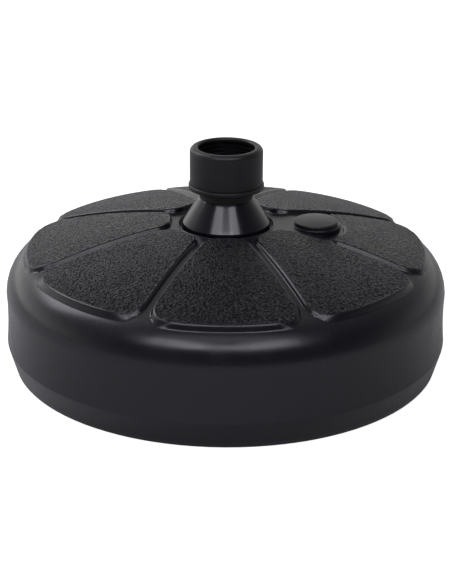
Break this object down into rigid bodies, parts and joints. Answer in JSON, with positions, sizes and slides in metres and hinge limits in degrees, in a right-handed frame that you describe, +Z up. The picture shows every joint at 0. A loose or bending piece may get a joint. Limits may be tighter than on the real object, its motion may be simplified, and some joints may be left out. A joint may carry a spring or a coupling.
{
  "type": "parasol base",
  "caption": "Round water or sand filled parasol base with raised petals on a domed tank, a flared hub, a pole socket with a screw clamp collar, and a filler cap.",
  "frame": {"origin": "on the ground at the centre of the base", "axes": "+Z up along the pole socket's axis, +X towards the filler cap, -Y towards the front petal"},
  "size_m": [0.4649, 0.465, 0.2317],
  "materials": {
    "tank_plastic": "satin blow-moulded polyethylene, pebble grain on the petal tops",
    "cap_plastic": "satin injection-moulded plastic",
    "cone_plastic": "semi-gloss injection-moulded plastic",
    "socket_plastic": "matt injection-moulded plastic",
    "collar_plastic": "matt injection-moulded plastic",
    "reducer_plastic": "matt injection-moulded plastic",
    "seal_rubber": "soft black rubber"
  },
  "bodies": {
    "base": {"tank": "tank_plastic", "hub_cone": "cone_plastic", "pole_socket": "socket_plastic", "head_reducer": "reducer_plastic", "foot_reducer": "reducer_plastic", "end_plug": "reducer_plastic", "base_washer": "seal_rubber", "base_nut": "socket_plastic"},
    "ring": {"guide_ring": "collar_plastic"},
    "collar": {"clamp_collar": "collar_plastic"},
    "seal": {"filler_seal": "seal_rubber"},
    "cap": {"filler_cap": "cap_plastic"}
  },
  "joints": [
    {"name": "collar_travel", "type": "slide", "parent": "base", "child": "ring", "axis": [0, 0, 1], "range_m": [-0.01, 0.002]},
    {"name": "collar_turn", "type": "hinge", "parent": "ring", "child": "collar", "pos_m": [0, 0, 0.19327], "axis": [0, 0, 1], "range_deg": [-900, 180]},
    {"name": "cap_lift", "type": "slide", "parent": "base", "child": "seal", "axis": [0, 0, 1], "range_m": [0, 0.012]},
    {"name": "cap_turn", "type": "hinge", "parent": "seal", "child": "cap", "pos_m": [0.0942, 0, 0.14826], "axis": [0, 0, 1], "range_deg": [0, 1080]}
  ],
  "couplings": [
    {"joint": "collar_travel", "follows": "collar_turn", "m_per_rad": 0.00063662},
    {"joint": "cap_lift", "follows": "cap_turn", "m_per_rad": 0.00063662}
  ]
}
